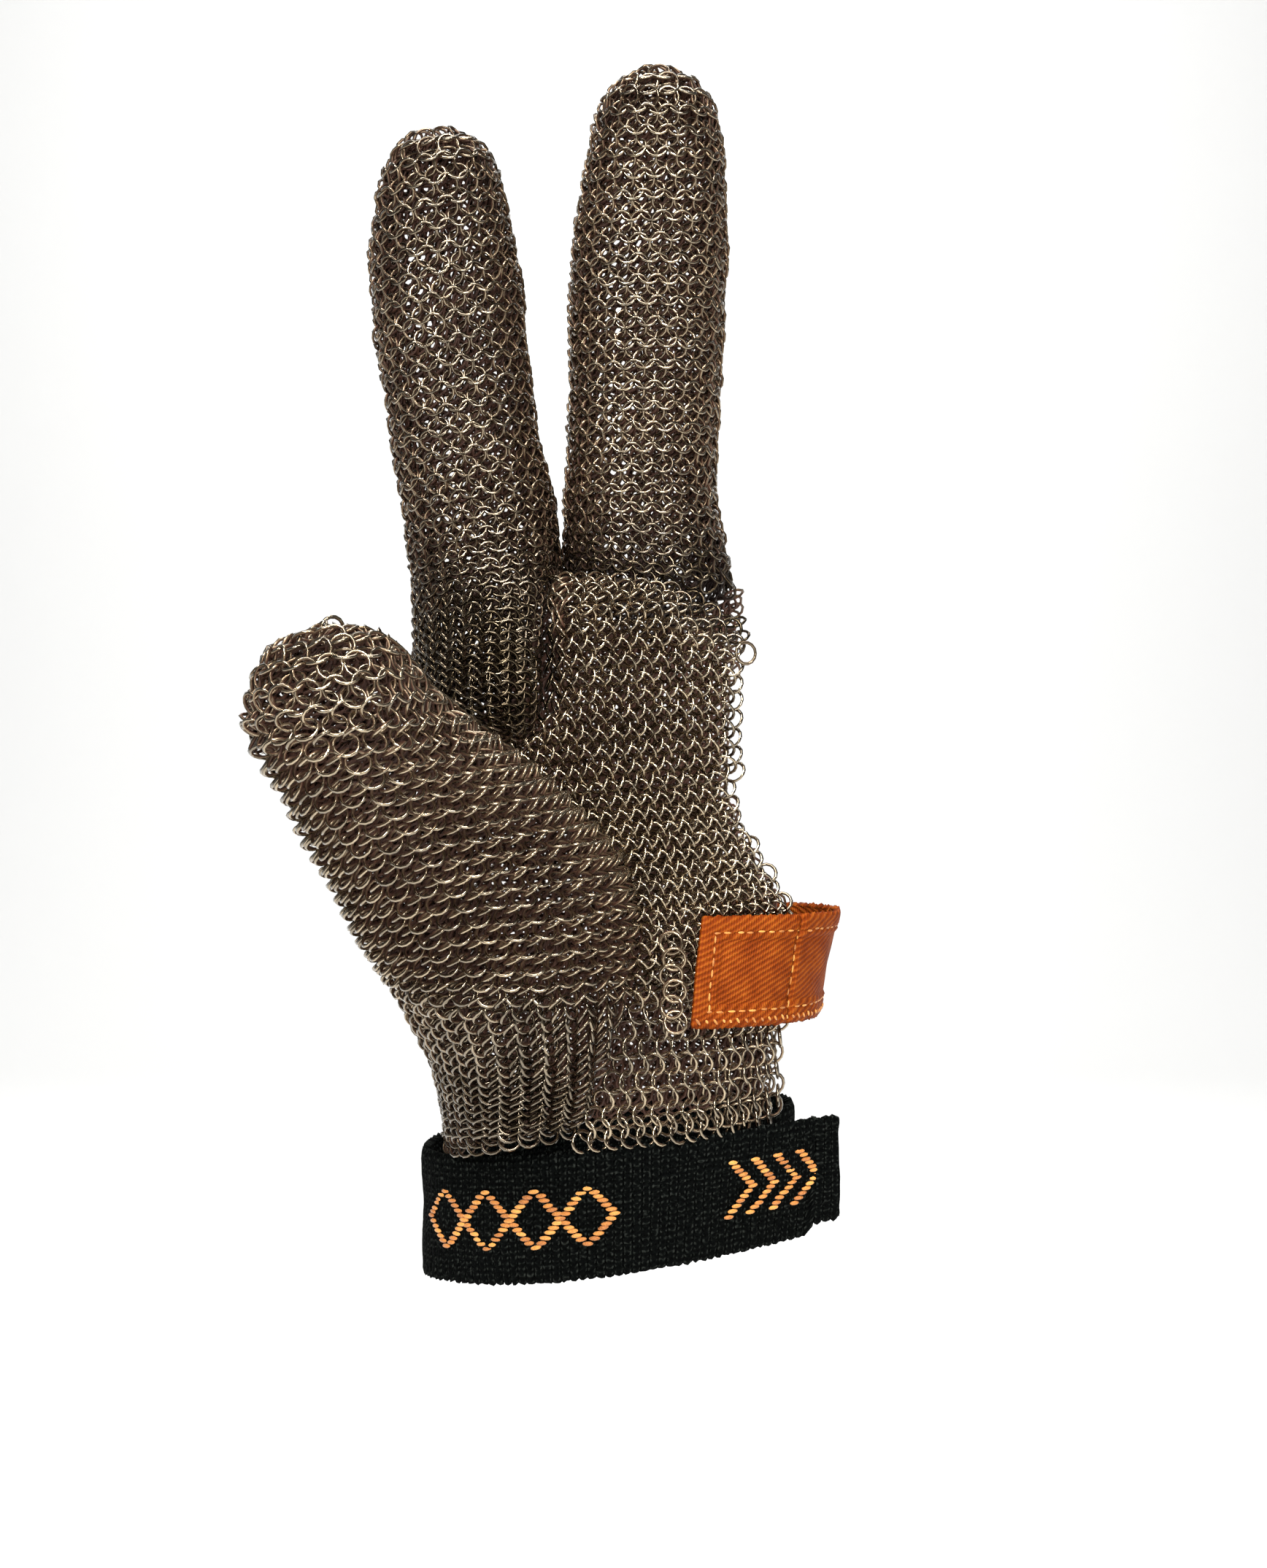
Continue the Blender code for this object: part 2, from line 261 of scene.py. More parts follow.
def creaseOffset(x, z):
    # how far the palm side moves outwards at a place, from all creases
    total = np.zeros_like(x)
    for crease in creases:
        nearest, signed = np.full_like(x, 1e9), np.zeros_like(x)
        for (x0, z0), (x1, z1) in zip(crease["line"], crease["line"][1:]):
            dx, dz = x1 - x0, z1 - z0
            share = np.clip(((x - x0) * dx + (z - z0) * dz) / (dx * dx + dz * dz), 0, 1)
            away = np.hypot(x - x0 - share * dx, z - z0 - share * dz)
            side = np.sign(dx * (z - z0) - dz * (x - x0))
            signed = np.where(away < nearest, away * side, signed)
            nearest = np.minimum(away, nearest)
        rise = np.clip(0.5 + 0.5 * signed / crease["reach"], 0, 1)
        total -= crease["recess"] * rise * rise * (3 - 2 * rise)
        total += crease["lip"] * np.exp(-((signed + 1.4 * crease["reach"]) / crease["reach"]) ** 2)
    return total


def insideBy(tree, point):
    # how deep a point lies in a guide surface, negative outside
    place, normal, _, distance = tree.find_nearest(Vector(point))
    return distance if (Vector(point) - place).dot(normal) < 0 else -distance


def layRows(tree, weave):
    # the loops that the rows of rings follow, spaced along the front of the shape
    planes = smoothRun(weave["planes"], 40)
    loops, heights = [], []
    for x, y, z, leanLeft, leanForward in planes:
        across, backward, _ = leaningAxes(leanLeft, leanForward)
        loop = outline(tree, (x, y, z), across, backward)
        if loop is not None and loopLength(loop) > weave.get("smallest", 9.0):
            if weave.get("creased"):
                inFront = np.clip(-loop[:, 1] / 4, 0, 1)
                loop[:, 1] -= creaseOffset(loop[:, 0], loop[:, 2]) * inFront
            loops.append(loop)
            heights.append(z)
    guide = np.array([loop[int(len(loop) * weave.get("guide", 0.75))] for loop in loops])
    run = runOf(guide)
    chosen, at = [], 0.0
    while at <= run[-1]:
        place = np.searchsorted(run, at)
        place = min(max(place, 1), len(run) - 1)
        share = (at - run[place - 1]) / max(run[place] - run[place - 1], 1e-9)
        chosen.append(loops[place - 1] * (1 - share) + loops[place] * share)
        z = heights[place - 1] * (1 - share) + heights[place] * share
        at += np.interp(z, *zip(*weave["spacing"]))
    return chosen


def wrinkle(points, weave):
    # slow swells of the mail over the hand
    size = weave.get("swell", 0.25)
    x, y, z = points[:, 0], points[:, 1], points[:, 2]
    broad = np.sin(0.31 * x + 0.17 * z + 1.3) * np.sin(0.23 * z - 0.2 * y)
    return size * (broad + 0.5 * np.sin(0.47 * z + 0.6 * x))


def closedPlaces(loop, k, weave):
    # shares of the loop for the rings of row k: even from the middle of the front, closer at the back
    closed = closedLine(loop)
    run = runOf(closed)
    total = run[-1]
    offset = 0.5 * (k % 2)
    if total < weave.get("tipFrom", 58.0):
        count = max(4, round(total / weave.get("tipPitch", 3.5)))
        return (np.arange(count) + offset) / count, np.full(count, total / count)
    middle, left = run[len(loop) * 3 // 4], run[len(loop) // 2]
    pitch = np.interp(loop[len(loop) * 3 // 4][2], *zip(*weave["frontPitch"]))
    first = np.ceil((left - middle) / pitch - offset)
    last = np.floor((total - middle) / pitch - offset)
    front = middle + (np.arange(first, last + 1) + offset) * pitch
    behind = total - (front[-1] - front[0])
    count = max(2, round(behind / weave["backPitch"]))
    back = front[-1] + behind * np.arange(1, count) / count
    at = np.concatenate([front, back])
    gap = np.concatenate([np.full(len(front), pitch), np.full(len(back), behind / count)])
    return at / total, gap


def openPlaces(loop, k, weave):
    # the same for one side of the hand, counted from its cut edge towards the thumb
    closed = closedLine(loop)
    run = runOf(closed)
    edge = np.interp(closed[:, 2], edgeZ, edgeX)
    within = closed[:, 0] < edge
    side = run[np.argmin(closed[:, 0])]
    if weave["side"] == "front":
        end = len(within) - 1 - np.argmax(within[::-1])
        way = -1
    else:
        end = np.argmax(within)
        way = 1
    pitch = np.interp(closed[end, 2], *zip(*weave["edgePitch"]))
    count = int(abs(run[end] - side) / pitch) + 1
    at = run[end] + way * (np.arange(count) + 0.5 * (k % 2)) * pitch
    return at / run[-1], np.full(count, pitch)


def leanOf(spacing, gap, sign):
    # how far rings tilt and turn so that the wires of linked neighbours pass each other
    wire, across = ring["wire"], ring["outer"] - ring["wire"]
    apart = np.hypot(gap / 2, spacing)
    chord = np.sqrt(np.maximum(across ** 2 - apart ** 2, 0.6)) / 2
    crowded = np.where(gap < ring["outer"], 1.5, 1.0)
    crossing = np.arctan(crowded * wire * apart / (chord * gap))
    stacked = np.arcsin(np.minimum(0.95, ring["stacking"] * wire / spacing / (1 if sign > 0 else 2)))
    tilt = np.minimum(np.maximum(crossing, stacked), radians(ring["steepest"]))
    turn = np.arccos(np.minimum(1.0, gap / across))
    return tilt, turn


def weaveRings(name, tree, weave, keep):
    # places of all rings of one weave: centre, the two axes of the ring's plane, and the way out of the mail
    loops = layRows(tree, weave)
    found = []
    for k, loop in enumerate(loops):
        below, above = loops[max(k - 1, 0)], loops[min(k + 1, len(loops) - 1)]
        placesOn = openPlaces if "side" in weave else closedPlaces
        shares, gap = placesOn(loop, k, weave)
        count = len(shares)
        points = along(loop, shares)
        ahead, behind = along(loop, shares + 0.002), along(loop, shares - 0.002)
        sideways = unit(ahead - behind)
        step = (along(above, shares) - along(below, shares)) / (2 if 0 < k < len(loops) - 1 else 1)
        step -= sideways * (step * sideways).sum(1, keepdims=True)
        spacing = np.maximum(np.linalg.norm(step, axis=1), 0.4)
        upward = unit(step + 1e-9)
        outward = unit(np.cross(sideways, upward))
        middle = loop.mean(axis=0)
        outward = outward * np.sign((outward * (points - middle)).sum(1))[:, None]
        sign = 1 if k % 2 else -1
        tilt, turn = leanOf(spacing, gap, sign)
        tilt = tilt * byHeight(points, weave.get("tiltBy", [(0, 1)]))
        tilt = tilt + np.radians(chance.normal(0, ring["tiltWander"], count))
        turn = turn * byHeight(points, weave.get("turnBy", [(0, 1)]))
        turn = turn * np.where(points[:, 2] < weave.get("alternateBelow", 0), sign, 1)
        turn = turn + np.radians(chance.normal(0, ring["turnWander"], count))
        if "yaw" in weave:
            turn = turn + np.radians(byHeight(points, weave["yaw"]))
        if "stand" in weave:
            least = np.radians(byHeight(points, weave["stand"]))
            tilt = np.maximum(tilt, least)
            spin = np.radians(byHeight(points, weave["spin"]))[:, None]
            sideways, upward = (sideways * np.cos(spin) + upward * np.sin(spin),
                                upward * np.cos(spin) - sideways * np.sin(spin))
        points = points + outward * (wrinkle(points, weave) - ring["sunk"])[:, None]
        points = points + chance.normal(0, ring["placeWander"], points.shape)
        axisA = sideways * np.cos(turn)[:, None] + outward * np.sin(turn)[:, None]
        axisB = upward * np.cos(tilt)[:, None] + outward * (sign * np.sin(tilt))[:, None]
        axisB = unit(axisB - axisA * (axisB * axisA).sum(1, keepdims=True))
        # painted shade: rings are made darker by height, from the weave's table
        worn = byHeight(points, weave.get("worn", [(0, 1)]))
        # painted shade: rings that sink beyond a crease are darkened as if in its shadow
        if weave.get("creased"):
            sunk = np.clip(-creaseOffset(points[:, 0], points[:, 2]) / 2, 0, 1)
            worn = worn * (1 - ring["creaseShade"] * sunk)
        for i in range(count):
            if keep(points[i], outward[i]):
                found.append((points[i], axisA[i], axisB[i], outward[i], worn[i]))
    print(name, len(loops), "rows,", len(found), "rings")
    return found


def modelRing(segments):
    # one ring is modelled and read as points and faces
    clearSelection()
    across = ring["outer"] - ring["wire"]
    sides = segments[1]
    stout = pi / (sides * sin(pi / sides))       # a wire of few sides keeps the width of a round one
    bpy.ops.mesh.primitive_torus_add(
        major_radius=across / 2 * mm, minor_radius=ring["wire"] / 2 * stout * mm,
        major_segments=segments[0], minor_segments=segments[1])
    obj = bpy.context.object
    points = np.array([v.co[:] for v in obj.data.vertices])
    faces = np.array([p.vertices[:] for p in obj.data.polygons])
    facing = np.array([v.normal[:] for v in obj.data.vertices])
    bpy.data.objects.remove(obj)
    return points, faces, facing


frontRing, backRing = modelRing(ring["segments"]), modelRing(ring["backSegments"])


def linkMail(name, places, node, material, oneRing):
    # all rings of a piece as one joined mesh, each with a tone of its own, darkened by painted shade where
    # its light level is low
    p, ringFaces, facing = oneRing
    centres = np.array([place[0] for place in places]) * mm
    a = np.array([place[1] for place in places])
    b = np.array([place[2] for place in places])
    outs = np.array([place[3] for place in places])
    worn = np.array([place[4] for place in places])
    axes = (a, b, np.cross(a, b))
    verts = centres[:, None, :]
    for k, axis in enumerate(axes):
        verts = verts + p[None, :, k:k + 1] * axis[:, None, :]
    verts = verts.reshape(-1, 3)
    faces = (ringFaces[None] + (np.arange(len(places)) * len(p))[:, None, None]).reshape(-1, 4)
    mesh = bpy.data.meshes.new(name)
    mesh.from_pydata(verts.tolist(), [], faces.tolist())
    tone = mesh.attributes.new("tone", "FLOAT", "POINT")
    # painted shade: a low light level pulls a ring's random tone darker
    tonesWithShade = chance.random(len(places)) * worn - ring["slackShade"] * (1 - worn)
    tone.data.foreach_set("value", np.repeat(tonesWithShade, len(p)))
    # painted highlight and shade: wires are painted bright and rubbed smooth on their outer side, and
    # painted dark on the side next to the hand
    away = sum(facing[None, :, k] * (axis * outs).sum(1)[:, None] for k, axis in enumerate(axes))
    reach = sum(p[None, :, k] * (axis * outs).sum(1)[:, None] for k, axis in enumerate(axes)) / mm
    rubbedAndPaintedLit = np.clip((away + 0.25 * reach + 0.15) / 0.75, 0, 1)
    litSideAttribute = mesh.attributes.new("rubbedAndPaintedLit", "FLOAT", "POINT")
    litSideAttribute.data.foreach_set("value", rubbedAndPaintedLit.ravel())
    mesh.shade_smooth()
    mesh.materials.append(material)
    obj = bpy.data.objects.new(name, mesh)
    bpy.context.scene.collection.objects.link(obj)
    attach(obj, "root")
    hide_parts(node)
    return obj


def newMaterial(name, colour, roughness, metallic):
    made = bpy.data.materials.new(name)
    made.use_nodes = True
    shader = made.node_tree.nodes["Principled BSDF"]
    shader.inputs["Base Color"].default_value = (*colour, 1)
    shader.inputs["Roughness"].default_value = roughness
    shader.inputs["Metallic"].default_value = metallic
    return made, made.node_tree, shader


def uvIn(tree, lengthMm, widthMm, turn=0.0):
    # the piece's own UV map, scaled so that one unit is a millimetre
    uv = tree.nodes.new("ShaderNodeUVMap")
    uv.uv_map = "UVMap"
    mapping = tree.nodes.new("ShaderNodeMapping")
    mapping.inputs["Scale"].default_value = (lengthMm, widthMm, 1)
    tree.links.new(uv.outputs["UV"], mapping.inputs["Vector"])
    if not turn:
        return mapping.outputs["Vector"]
    turned = tree.nodes.new("ShaderNodeMapping")
    turned.inputs["Rotation"].default_value = (0, 0, radians(turn))
    tree.links.new(mapping.outputs["Vector"], turned.inputs["Vector"])
    return turned.outputs["Vector"]


oneBand = 0.31416     # the wave texture's scale at which a band is one unit wide


def waveOn(tree, vector, pitch, direction="X", distortion=0.0):
    wave = tree.nodes.new("ShaderNodeTexWave")
    wave.wave_type = "BANDS"
    wave.bands_direction = direction
    wave.inputs["Scale"].default_value = oneBand / pitch
    wave.inputs["Distortion"].default_value = distortion
    wave.inputs["Detail"].default_value = 2
    wave.inputs["Detail Scale"].default_value = 2
    tree.links.new(vector, wave.inputs["Vector"])
    return wave.outputs["Fac"]


def noiseOn(tree, vector, scale, detail=4):
    noise = tree.nodes.new("ShaderNodeTexNoise")
    noise.inputs["Scale"].default_value = scale
    noise.inputs["Detail"].default_value = detail
    tree.links.new(vector, noise.inputs["Vector"])
    return noise.outputs["Fac"]


def attributeOn(tree, name):
    node = tree.nodes.new("ShaderNodeAttribute")
    node.attribute_name = name
    return node.outputs["Fac"]


def mathOn(tree, first, second, operation):
    node = tree.nodes.new("ShaderNodeMath")
    node.operation = operation
    for k, value in enumerate((first, second)):
        if isinstance(value, (int, float)):
            node.inputs[k].default_value = value
        else:
            tree.links.new(value, node.inputs[k])
    return node.outputs[0]


def sumOf(tree, first, second):
    return mathOn(tree, first, second, "ADD")


def scaled(tree, first, second):
    return mathOn(tree, first, second, "MULTIPLY")


def grey(level):
    return (level, level, level)


def rampOn(tree, value, stops):
    ramp = tree.nodes.new("ShaderNodeValToRGB")
    elements = ramp.color_ramp.elements
    while len(elements) < len(stops):
        elements.new(0.5)
    for element, (position, colour) in zip(elements, stops):
        element.position = position
        element.color = (*colour, 1)
    tree.links.new(value, ramp.inputs["Fac"])
    return ramp.outputs["Color"]


def bumpOn(tree, shader, height, distance, strength=1.0):
    bump = tree.nodes.new("ShaderNodeBump")
    bump.inputs["Strength"].default_value = strength
    bump.inputs["Distance"].default_value = distance * mm
    tree.links.new(height, bump.inputs["Height"])
    tree.links.new(bump.outputs["Normal"], shader.inputs["Normal"])


def steelRings():
    made, tree, shader = newMaterial("steelRings", (0.3, 0.26, 0.2), 0.3, 1.0)
    place = tree.nodes.new("ShaderNodeTexCoord").outputs["Object"]
    tone = attributeOn(tree, "tone")
    rubbedAndPaintedLit = attributeOn(tree, "rubbedAndPaintedLit")
    tarnish = noiseOn(tree, place, 260, 5)
    shade = sumOf(tree, scaled(tree, tone, 0.4), scaled(tree, tarnish, 0.75))
    # painted highlight and painted shade: the outer side of each wire takes the bright colours, and the side
    # next to the hand and the far layer seen through the gaps take the dark brown ones
    paintedLitColour = rampOn(tree, shade, [(0.0, (0.07, 0.051, 0.028)), (0.3, (0.12, 0.088, 0.048)),
                                  (0.8, (0.36, 0.275, 0.165))])
    paintedShadeColour = rampOn(tree, shade, [(0.0, (0.016, 0.007, 0.004)), (0.25, (0.05, 0.02, 0.011)),
                                (0.8, (0.1, 0.04, 0.021))])
    mix = tree.nodes.new("ShaderNodeMix")
    mix.data_type = "RGBA"
    tree.links.new(rampOn(tree, rubbedAndPaintedLit, [(0.2, grey(0)), (0.95, grey(1))]), mix.inputs["Factor"])
    tree.links.new(paintedShadeColour, mix.inputs["A"])
    tree.links.new(paintedLitColour, mix.inputs["B"])
    tree.links.new(mix.outputs["Result"], shader.inputs["Base Color"])
    smoothness = sumOf(tree, rubbedAndPaintedLit, scaled(tree, tarnish, -0.25))
    rough = rampOn(tree, smoothness, [(0.1, grey(0.6)), (0.75, grey(0.17))])
    tree.links.new(rough, shader.inputs["Roughness"])
    metal = rampOn(tree, rubbedAndPaintedLit, [(0.2, grey(0.1)), (0.7, grey(1))])
    tree.links.new(metal, shader.inputs["Metallic"])
    # only the wires on the outer, painted-bright side and out of the painted shade are polished enough to
    # glint
    polish = scaled(tree, rampOn(tree, rubbedAndPaintedLit, [(0.6, grey(0)), (0.95, grey(0.8))]),
                    rampOn(tree, shade, [(0.0, grey(0.1)), (0.3, grey(1))]))
    tree.links.new(polish, shader.inputs["Coat Weight"])
    shader.inputs["Coat Roughness"].default_value = 0.13
    shader.inputs["Coat IOR"].default_value = 1.8
    bumpOn(tree, shader, noiseOn(tree, place, 1500, 2), 0.05, 0.12)
    return made


steel = steelRings()

# how the rows of each piece lie: planes in mm with their lean in degrees, and tables by height in mm
palmWeave = {
    "side": "front",
    "planes": [(2.0, 0.0, 15.9, 5.0, 0), (2.5, 0.0, 30.0, 1.0, 0), (3.0, 0.0, 50.0, 3.0, 0),
               (3.0, 0.0, 75.0, 5.0, 0), (4.0, 0.0, 96.0, 3.0, 0), (4.0, 0.0, 107.5, 2.0, 0)],
    "spacing": [(15, 1.5), (17, 1.6), (19, 2.72), (33, 2.72), (38, 1.3), (66, 1.17), (76, 1.5), (98, 1.45),
                (108, 1.3)],
    "edgePitch": [(15, 2.6), (33, 2.55), (58, 2.25), (78, 2.55), (96, 2.75), (110, 2.7)],
    "swell": 0.3,
    "creased": True,
    "turnBy": [(33, 0.75), (40, 0.85)],
    "tiltBy": [(33, 0.3), (40, 1.5)],
    "alternateBelow": 36,
}
backWeave = {
    "side": "back",
    "planes": [(2.0, 0.0, 13.0, 6.5, 0), (2.5, 0.0, 50.0, 2.0, 0), (4.0, 0.0, 96.0, 2.0, 0),
               (4.0, 0.0, 107.5, 2.0, 0)],
    "spacing": [(34, 0.95), (38, 0.8), (78, 0.8), (84, 0.95)],
    "edgePitch": [(34, 2.2), (40, 1.95), (76, 1.95), (84, 2.2)],
    "turnBy": [(0, 0.6)],
    "tiltBy": [(0, 0.65)],
    "alternateBelow": 200,
    "guide": 0.25,
    "swell": 0.35,
}
thumbWeave = {
    "planes": [(-12.4, -6.0, 14.0, 9.5, -6), (-12.0, -9.0, 32.0, 1.0, 0), (-16.0, -17.0, 46.0, 2.0, 0),
               (-22.0, -28.0, 57.0, 5.0, 0), (-29.0, -41.0, 68.0, 7.0, 0), (-35.0, -53.0, 78.0, 9.0, 0),
               (-38.5, -60.0, 87.0, 9.0, 0), (-39.0, -61.0, 94.5, 9.0, 0)],
    "spacing": [(12, 0.62), (21, 0.64), (27, 0.85), (32, 1.05), (40, 1.4), (46, 1.6), (60, 1.8), (94, 1.85)],
    "frontPitch": [(12, 3.4), (30, 3.7), (42, 4.5), (75, 4.45), (90, 3.9)],
    "backPitch": 3.2,
    "yaw": [(14, -42), (32, -42), (42, -33), (74, -33), (88, 0)],
    "stand": [(32, 0), (42, 70), (74, 70), (86, 20)],
    "spin": [(32, 0), (42, 17), (74, 17), (88, 0)],
    # painted light level: the thumb's rings are darker towards the wrist
    "worn": [(20, 0.5), (32, 0.7), (44, 1)],
    "swell": 0.3,
}
indexWeave = {
    "planes": [(-20.0, -2.0, 78.0, 3, 0), (-20.4, -2.5, 90.0, 8, 0), (-20.8, -0.5, 105.0, 10, 0),
               (-23.7, 0.4, 126.0, 10, 2), (-26.5, -0.6, 145.0, 11, 4), (-28.4, -2.4, 166.5, 10, 7),
               (-28.6, -3.9, 182.6, 8, 8)],
    "spacing": [(78, 0.85), (94, 0.9), (116, 1.7), (128, 1.85), (184, 1.9)],
    "frontPitch": [(78, 3.1), (96, 3.2), (120, 3.9), (182, 4.0)],
    "backPitch": 3.2,
    # painted shade: the index finger's base is darker where its mail bunches and lies in shadow
    "worn": [(79, 0.6), (83, 0.25), (98, 0.35), (118, 0.8)],
    "swell": 0.2,
}
middleWeave = {
    "planes": [(7.0, 0.0, 92.5, -24, 0), (6.6, 0.6, 101.0, -14, 0), (5.6, 1.4, 113.0, -2, 0),
               (5.9, 0.9, 134.0, 1, 1), (6.6, -0.4, 156.0, 1, 4), (7.9, -2.2, 176.0, 0, 7),
               (8.7, -4.4, 193.1, 0, 8)],
    "spacing": [(98, 1.3), (112, 1.7), (192, 1.78)],
    "frontPitch": [(98, 3.5), (115, 3.65), (192, 3.7)],
    "backPitch": 3.2,
    # painted shade: the middle finger's base is darker in the crease's shadow
    "worn": [(95, 0.1), (108, 0.3), (114, 0.6), (121, 0.9)],
    "swell": 0.2,
}

# behind the fingers and the thumb the mail hangs slack and closes up
slackSide = {
    "spacing": [(0, 0.95)],
    "frontPitch": [(0, 2.2)],
    "backPitch": 2.2,
    "tipFrom": 26,
    "tipPitch": 2.2,
    "turnBy": [(0, 0.6)],
    "alternateBelow": 200,
    "yaw": [(0, 0)],
    "stand": [(0, 0)],
    "spin": [(0, 0)],
    "guide": 0.25,
}

handTree = shapeTree(handShape)
thumbTree = shapeTree(thumbShape)
indexTree = shapeTree(indexShape)
middleTree = shapeTree(middleShape)


def clearOf(point, trees, bury=0.9):
    return all(insideBy(tree, point) < bury for tree in trees)


def keepHand(point, outward):
    return clearOf(point, (thumbTree, indexTree, middleTree), 0.2)


def keepFinger(point, outward):
    edge = np.interp(point[2], [97, 101, 106, 112, 120], [23.4, 23.0, 22.2, 21.4, 25])
    return clearOf(point, (handTree, thumbTree), 1.6) and point[0] < edge


def keepThumb(point, outward):
    return clearOf(point, (handTree,), 1.6)


def keepPalm(point, outward):
    top = np.interp(point[0], [-12, -5, 3, 12, 16, 23], [108, 112, 111, 107.5, 102, 98])
    return outward[1] < 0.05 and keepHand(point, outward) and point[2] < top


def keepBack(point, outward):
    return outward[1] > -0.15 and keepHand(point, outward)


def linkSides(name, tree, weave, keep, node):
    # the side that faces the palm and the slack side behind it, as two pieces
    slack = {**weave, **slackSide}
    front = weaveRings(name, tree, weave, lambda p, out: out[1] < 0.25 and keep(p, out))
    back = weaveRings(name + " back", tree, slack, lambda p, out: out[1] > 0.1 and keep(p, out))
    linkMail(name + "Mail", front, node, steel, frontRing)
    linkMail(name + "BackMail", back, node, steel, backRing)


# rings that lie loose and flat on the palm: a column beside the tab, and one at the cut edge, as x, z
looseRings = {
    "places": [(10.9, 34.4), (10.3, 36.8), (10.8, 39.3), (10.2, 41.8), (10.7, 44.3), (10.2, 46.8),
               (22.6, 93.4)],
    "lift": 0.9,
    # painted light: the loose rings are painted brighter than the rest
    "worn": 1.3,
}


def layLoose():
    found = []
    for x, z in looseRings["places"]:
        hit = handTree.ray_cast(Vector((x, -60, z)), Vector((0, 1, 0)))[0]
        lean = chance.normal(0, 0.12, 2)
        found.append((np.array(hit) - (0, looseRings["lift"], 0), unit(np.array((1, lean[0], 0))),
                      unit(np.array((0, lean[1], 1))), np.array((0, -1, 0)), looseRings["worn"]))
    return found


palmPlaces = weaveRings("palm", handTree, palmWeave, keepPalm) + layLoose()
palmMail = linkMail("palmMail", palmPlaces, "hand_mail", steel, frontRing)
backPlaces = weaveRings("back", handTree, backWeave, keepBack)
linkMail("backMail", backPlaces, "hand_mail", steel, backRing)
linkSides("thumb", thumbTree, thumbWeave, keepThumb, "thumb_mail")
linkSides("index", indexTree, indexWeave, keepFinger, "index_mail")
linkSides("middle", middleTree, middleWeave, keepFinger, "middle_mail")
print("mail linked")


# wrist strap: black ribbed webbing round the wrist and over itself, sizes in mm
wristStrap = {
    "halfSpan": 31.0,
    "halfDepth": 21.5,
    "rise": 3.8,
    "slope": 0.119,
    "width": 20.5,
    "thick": 1.25,
    "start": -58.0,       # degrees round the loop
    "liftFrom": 190.0,
    "leave": 298.0,
    "overlap": 2.4,
    "tailLength": 24.6,
    "leanAtLeave": 10.0,
    "tailLean": 16.0,
    "cutBack": 2.2,       # the folded end is this much narrower, at its lower edge
    "cutLength": 5.8,
    "endSlant": 2.2,      # the folded end is cut this much shorter at its upper edge
    "slantReach": 12,
    "ribPitch": 1.45,
    "ribDepth": 0.2,
    "scallop": 0.26,
}


def strapCourse():
    # centre line of the strap with its upward and outward directions, and the length so far
    s = wristStrap
    centres, leans = [], []
    turns, tailSteps = 400, 60
    for i in range(turns + 1):
        angle = radians(s["start"] + (s["leave"] - s["start"]) * i / turns)
        share = max(0.0, (angle - radians(s["liftFrom"])) / radians(s["leave"] - s["liftFrom"]))
        off = s["overlap"] * share ** 0.5
        x = (s["halfSpan"] + off) * cos(angle)
        centres.append((x, (s["halfDepth"] + off) * sin(angle), s["rise"] + s["slope"] * x))
        leans.append(s["leanAtLeave"] * share)
    centres = [np.array(p) for p in centres]
    run = unit(centres[-1] - centres[-2])
    for i in range(1, tailSteps + 1):
        share = i / tailSteps
        centres.append(centres[turns] + run * s["tailLength"] * share)
        leans.append(s["leanAtLeave"] + (s["tailLean"] - s["leanAtLeave"]) * share)
    centres, leans = np.array(centres), np.radians(leans)
    steps = np.gradient(centres, axis=0)
    steps[:, 2] = 0
    runs = unit(steps)
    outs = np.cross(runs, (0, 0, 1))
    ups = np.outer(np.cos(leans), (0, 0, 1)) + outs * np.sin(leans)[:, None]
    faces = unit(np.cross(runs, ups))
    return centres, ups, faces, runOf(centres)


strapLine = strapCourse()
strapLength = strapLine[3][-1]


def onStrap(u, v, out):
    # a place on the strap: u along it, v above its centre line, out from its middle, in mm
    centres, ups, faces, lengths = strapLine

    def pick(table):
        return np.stack([np.interp(u, lengths, table[:, k]) for k in range(3)], axis=-1)

    here = pick(centres) + unit(pick(ups)) * np.asarray(v)[..., None]
    return here + unit(pick(faces)) * np.asarray(out)[..., None]


def flatGrid(name, along, across):
    # a unit grid to be laid over a surface
    clearSelection()
    bpy.ops.mesh.primitive_grid_add(x_subdivisions=along, y_subdivisions=across, size=1.0)
    obj = bpy.context.object
    obj.name = name
    obj.data.name = name
    points = np.array([v.co[:] for v in obj.data.vertices])
    return obj, points[:, 0] + 0.5, points[:, 1]


def layGrid(obj, places):
    obj.data.vertices.foreach_set("co", (places * mm).astype(np.float32).ravel())
    obj.data.update()


def thicken(obj, thick):
    solidify = obj.modifiers.new("thickness", "SOLIDIFY")
    solidify.thickness = thick * mm
    solidify.offset = 0
    obj.select_set(True)
    bpy.context.view_layer.objects.active = obj
    bpy.ops.object.modifier_apply(modifier=solidify.name)
    bpy.ops.object.mode_set(mode="EDIT")
    bpy.ops.mesh.select_all(action="SELECT")
    bpy.ops.mesh.normals_make_consistent(inside=False)
    bpy.ops.object.mode_set(mode="OBJECT")
    clearSelection()
    obj.data.shade_smooth()


